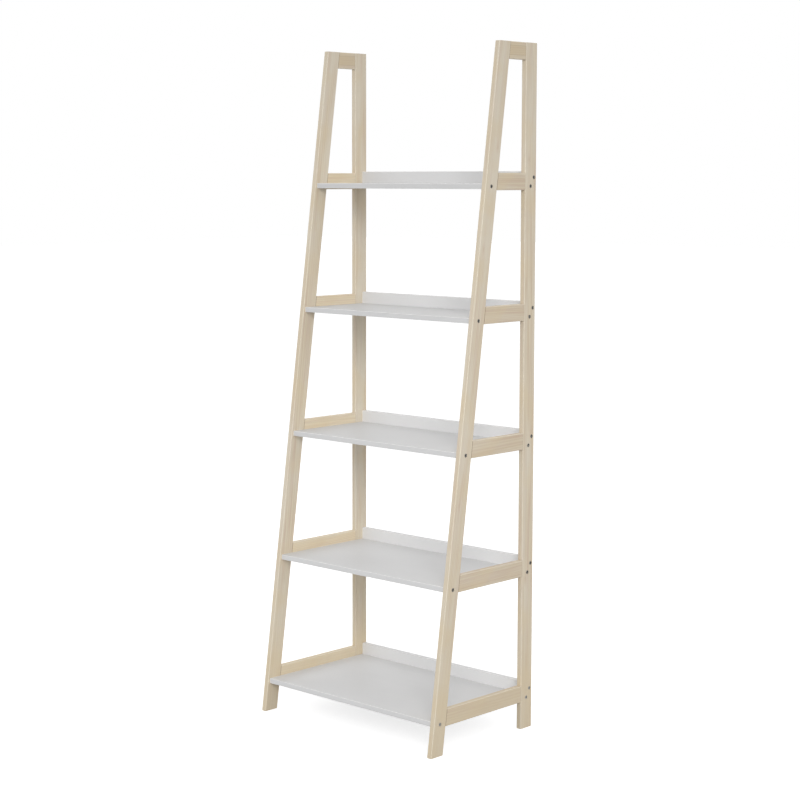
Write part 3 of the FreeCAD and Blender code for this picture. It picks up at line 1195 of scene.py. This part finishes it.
LIGHTS = (
    SoftBox("front_light", (3.45, -3.35, 2.75), (0.0, 0.0, 0.70), 2.7, 12.3, math.radians(44.0)),
    SoftBox("back_light", (-2.6, 3.2, 2.4), (0.0, 0.0, 0.9), 2.4, 12.0),
    SoftBox("side_light", (-3.2, -0.4, 2.0), (0.2, 0.0, 0.6), 1.6, 16.0),
)


@dataclass
class Studio:
    """A white room with a pale floor and soft lights in front, behind and on the left.

    Attributes:
        room_light: how bright the room's walls light the object.
        room_seen: how bright the walls look to the camera.
        floor_width: width of the square floor.
        floor_colour: the floor's colour.
        floor_glow: light that the floor shows the camera, so that it runs into the walls.
    """

    room_light: float = 0.68
    room_seen: float = 1.0
    floor_width: float = 60.0
    floor_colour: Colour = (0.60, 0.60, 0.60)
    floor_glow: float = 0.72

    def seen_by_camera(self, sheet: Sheet, unseen: float, seen: float) -> Wire:
        """Return one number for what the camera sees itself, and another for all other light."""
        camera = sheet.add("ShaderNodeLightPath").outputs["Is Camera Ray"]
        return sheet.math("MULTIPLY_ADD", camera, seen - unseen, unseen)

    def make_room(self) -> None:
        """Set the even light of the white walls."""
        world = bpy.data.worlds.new("white_room")
        world.use_nodes = True
        bpy.context.scene.world = world
        sheet = Sheet(world.node_tree)
        background = world.node_tree.nodes["Background"]
        background.inputs["Color"].default_value = WHITE
        strength = self.seen_by_camera(sheet, self.room_light, self.room_seen)
        sheet.feed(background.inputs["Strength"], strength)

    def make_floor(self) -> None:
        """Lay the plain pale floor."""
        half = self.floor_width / 2.0
        mesh = bpy.data.meshes.new("floor")
        corners = [(-half, -half, 0.0), (half, -half, 0.0), (half, half, 0.0), (-half, half, 0.0)]
        mesh.from_pydata(corners, [], [(0, 1, 2, 3)])
        floor = add_to_scene("floor", mesh)
        material, sheet = start_material("pale_floor")
        glow = self.seen_by_camera(sheet, 0.0, self.floor_glow)
        matt = {"Base Color": (*self.floor_colour, 1.0), "Roughness": 1.0, "Specular IOR Level": 0.0}
        sheet.surface({**matt, "Emission Color": WHITE, "Emission Strength": glow})
        mesh.materials.append(material)

    def make(self) -> None:
        """Build the room, the floor and the lights."""
        self.make_room()
        self.make_floor()
        for light in LIGHTS:
            light.make()
        bpy.context.scene.view_settings.view_transform = "Standard"


@dataclass
class ViewCamera:
    """The camera that the shelf is shown by.

    Attributes:
        place: where it stands.
        heading: its turn from +Y, to the left.
        dip: how far it looks down.
        lens: focal length in millimetres.
        shift: how far the view is moved on the sensor, in sensor widths.
        sensor: sensor width in millimetres.
    """

    place: Triple = (3.401, -3.643, 1.479)
    heading: float = math.radians(43.86)
    dip: float = math.radians(5.85)
    lens: float = 83.51
    shift: tuple[float, float] = (0.0395, -0.0401)
    sensor: float = 36.0

    def make(self) -> None:
        """Set the camera up and make it the scene's camera."""
        camera = bpy.data.cameras.new("camera")
        camera.sensor_width = self.sensor
        camera.lens = self.lens
        camera.shift_x = self.shift[0]
        camera.shift_y = self.shift[1]
        piece = add_to_scene("camera", camera)
        piece.location = self.place
        piece.rotation_euler = (QUARTER_TURN - self.dip, 0.0, self.heading)
        bpy.context.scene.camera = piece


def main() -> None:
    """Build the looks of the ladder shelf, then its studio and camera."""
    logging.basicConfig(level=logging.INFO, format="%(name)s: %(message)s")
    effects = Effects()
    for side in Side:
        SideFrame(side, effects).make()
    for level in LEVELS:
        ShelfTier(level, effects).make()
    Fasteners(effects).make()
    Studio().make()
    ViewCamera().make()


if __name__ == "__main__":
    main()
